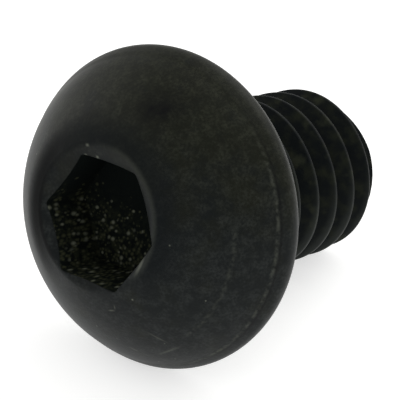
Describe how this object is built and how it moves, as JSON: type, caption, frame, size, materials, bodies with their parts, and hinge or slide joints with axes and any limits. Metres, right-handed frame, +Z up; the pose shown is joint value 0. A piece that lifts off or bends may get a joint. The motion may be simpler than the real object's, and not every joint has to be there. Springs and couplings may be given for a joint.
{
  "type": "thread-forming screw",
  "caption": "Button-head socket screw that forms its own thread: domed head with a hex socket, short rolled thread on a three-lobed shank with a tapered lead, in black oxide steel.",
  "frame": {"origin": "on the surface that the screw lies on, below the middle of its box", "axes": "+Z up, -Y the way the head faces, +Y towards the tip; the screw's own axis lies in the YZ plane and falls towards the tip by about 15 degrees, as the rim of the head and the thread at the tip both rest on the surface"},
  "size_m": [0.011, 0.014, 0.0108],
  "materials": {
    "screw": "satin"
  },
  "bodies": {
    "root": {"screw": "screw"}
  },
  "joints": []
}
